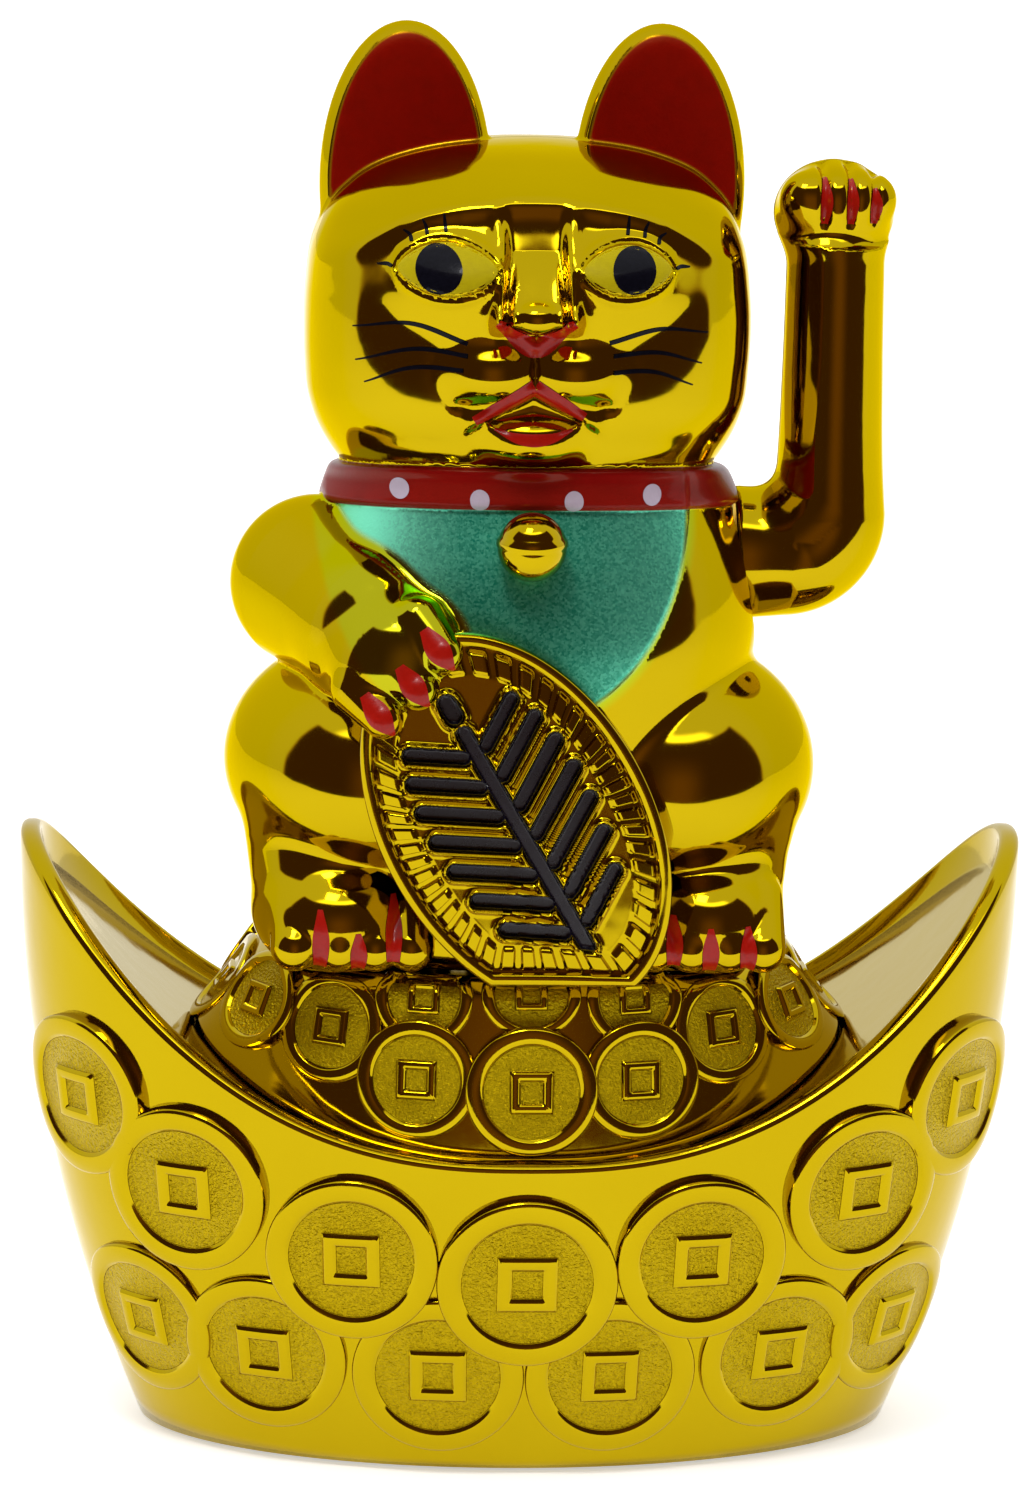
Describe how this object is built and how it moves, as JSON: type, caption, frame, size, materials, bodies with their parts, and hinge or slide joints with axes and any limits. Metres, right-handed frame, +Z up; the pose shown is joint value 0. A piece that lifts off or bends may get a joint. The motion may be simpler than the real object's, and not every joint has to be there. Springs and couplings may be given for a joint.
{
  "type": "beckoning cat figurine",
  "caption": "Gold-plated sitting cat on a boat-shaped ingot base with coin reliefs; one raised arm swings on a shaft with a magnet pendulum driven by a coil in the body.",
  "frame": {"origin": "on the table, under the middle of the ingot base", "axes": "+Z up; the cat faces -Y; +X towards the waving arm"},
  "size_m": [0.1416, 0.0724, 0.2001],
  "materials": {
    "gold_plastic": "vacuum-plated mirror gold over moulded plastic, with painted details and grained coin faces",
    "black_plastic": "fine-textured moulded plastic",
    "white_nylon": "plain moulded nylon",
    "steel": "drawn and zinc-plated steel",
    "zinc": "rough die-cast weight",
    "nickel": "nickel plate",
    "copper": "enamelled copper wire, wound",
    "board": "green solder mask",
    "foot_rubber": "pale soft rubber",
    "cell_wrap": "plain shrink wrap over a steel can",
    "red_insulation": "flexible wire insulation",
    "black_insulation": "flexible wire insulation"
  },
  "bodies": {
    "base": {"ingot_shell": "gold_plastic", "coin_mound": "gold_plastic", "cat_front_shell": "gold_plastic", "cat_rear_shell": "gold_plastic", "movement_frame": "white_nylon", "frame_screw_left": "steel", "frame_screw_right": "steel", "coil_bobbin": "white_nylon", "coil_winding": "copper", "circuit_board": "board", "board_screw_front": "steel", "board_screw_rear": "steel", "drive_transistor": "black_plastic", "electrolytic_capacitor": "black_plastic", "cat_screw_front": "steel", "cat_screw_rear": "steel", "base_plate": "black_plastic", "base_screw_left_front": "steel", "base_screw_left_rear": "steel", "base_screw_right_front": "steel", "base_screw_right_rear": "steel", "foot_left_front": "foot_rubber", "foot_left_rear": "foot_rubber", "foot_right_front": "foot_rubber", "foot_right_rear": "foot_rubber", "battery_cell": "cell_wrap", "contact_plate_positive": "nickel", "contact_plate_negative": "nickel", "contact_spring": "nickel", "switch_body": "black_plastic", "lead_red": "red_insulation", "lead_black": "black_insulation"},
    "arm": {"arm_front_shell": "gold_plastic", "arm_rear_shell": "gold_plastic", "arm_hub": "white_nylon", "arm_axle": "steel", "axle_collar": "nickel", "axle_washer": "white_nylon", "pendulum_lever": "white_nylon", "pendulum_magnet": "nickel", "counterweight": "zinc"},
    "door": {"battery_door": "black_plastic"},
    "knob": {"switch_knob": "white_nylon"}
  },
  "joints": [
    {"name": "arm_wave", "type": "hinge", "parent": "base", "child": "arm", "pos_m": [0, 0, 0.125], "axis": [1, 0, 0], "range_deg": [-20, 20]},
    {"name": "door_turn", "type": "hinge", "parent": "base", "child": "door", "pos_m": [0, 0.0076, 0.0018], "axis": [1, 0, 0], "range_deg": [0, 80]},
    {"name": "switch_slide", "type": "slide", "parent": "base", "child": "knob", "axis": [1, 0, 0], "range_m": [0, 0.003]}
  ]
}
